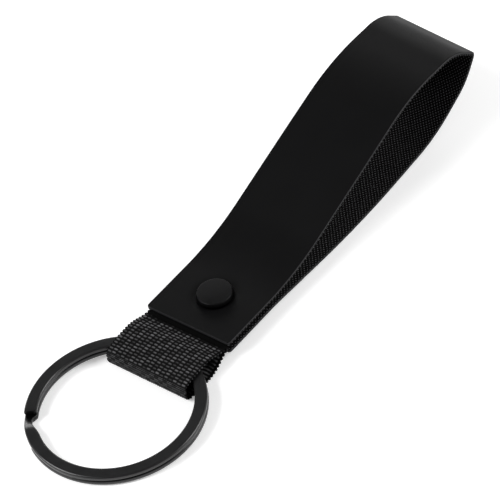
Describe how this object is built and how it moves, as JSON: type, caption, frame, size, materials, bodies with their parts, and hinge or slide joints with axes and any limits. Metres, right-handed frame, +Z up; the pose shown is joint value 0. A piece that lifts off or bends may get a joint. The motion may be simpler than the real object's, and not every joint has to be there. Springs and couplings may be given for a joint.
{
  "type": "key fob",
  "caption": "Folded strap with a riveted webbing tab that holds a flat-wire split ring; carries keys.",
  "frame": {"origin": "bottom centre of the whole fob, on the surface it lies on", "axes": "+X along the strap from the split ring towards the fold, +Y across the strap, +Z up from the surface"},
  "size_m": [0.1232, 0.035, 0.0173],
  "materials": {
    "coated_cover": "smooth matt coated strip, soft to the touch",
    "woven_lining": "coarse basket-woven nylon",
    "webbing": "ribbed nylon webbing",
    "ring_black": "satin black coated spring steel",
    "rivet_gunmetal": "satin gunmetal plated brass"
  },
  "bodies": {
    "strap": {"strap_cover": "coated_cover", "strap_lining": "woven_lining", "webbing_tail": "webbing", "rivet_front_cap": "rivet_gunmetal", "rivet_socket": "rivet_gunmetal", "rivet_post": "rivet_gunmetal", "rivet_back_cap": "rivet_gunmetal"},
    "tab": {"webbing_loop": "webbing"},
    "ring": {"ring_wire": "ring_black"},
    "ring_end": {"ring_free_end": "ring_black"}
  },
  "joints": [
    {"name": "tab_flex", "type": "hinge", "parent": "strap", "child": "tab", "pos_m": [-0.02306, 0, 0.00276], "axis": [0, 1, 0], "range_deg": [-60, 60]},
    {"name": "ring_spin", "type": "hinge", "parent": "tab", "child": "ring", "pos_m": [-0.04404, 0, 0.00161], "axis": [-0.029, 0, 0.9996], "range_deg": [-180, 180]},
    {"name": "ring_open", "type": "hinge", "parent": "ring", "child": "ring_end", "pos_m": [-0.03355, 0.01238, 0.00302], "axis": [0.6478, 0.7615, 0.0188], "range_deg": [0, 10], "stiffness_Nm_per_rad": 0.6}
  ]
}
